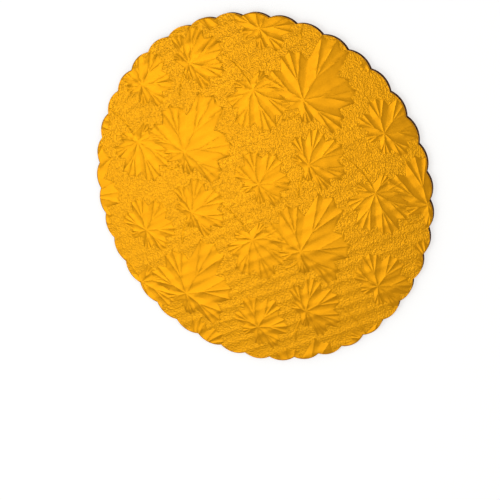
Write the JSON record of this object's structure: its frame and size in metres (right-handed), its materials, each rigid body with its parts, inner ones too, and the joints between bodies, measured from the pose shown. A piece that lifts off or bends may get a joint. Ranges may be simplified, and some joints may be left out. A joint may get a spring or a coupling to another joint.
{
  "type": "cake board",
  "caption": "Round scalloped cake board of foil-faced corrugated board, with embossed leaves on its face and flutes open at the cut edge.",
  "frame": {"origin": "centre of the underside, on the surface that the board lies on", "axes": "+Z out of the embossed face; +X and +Y point to scallop notches, with the flutes rising from +X towards +Y"},
  "size_m": [0.2278, 0.2278, 0.0045],
  "materials": {
    "foil_board": "satin gold foil on one face, plain brown board at the cut edge and underneath"
  },
  "bodies": {
    "root": {"cake_board": "foil_board"}
  },
  "joints": []
}
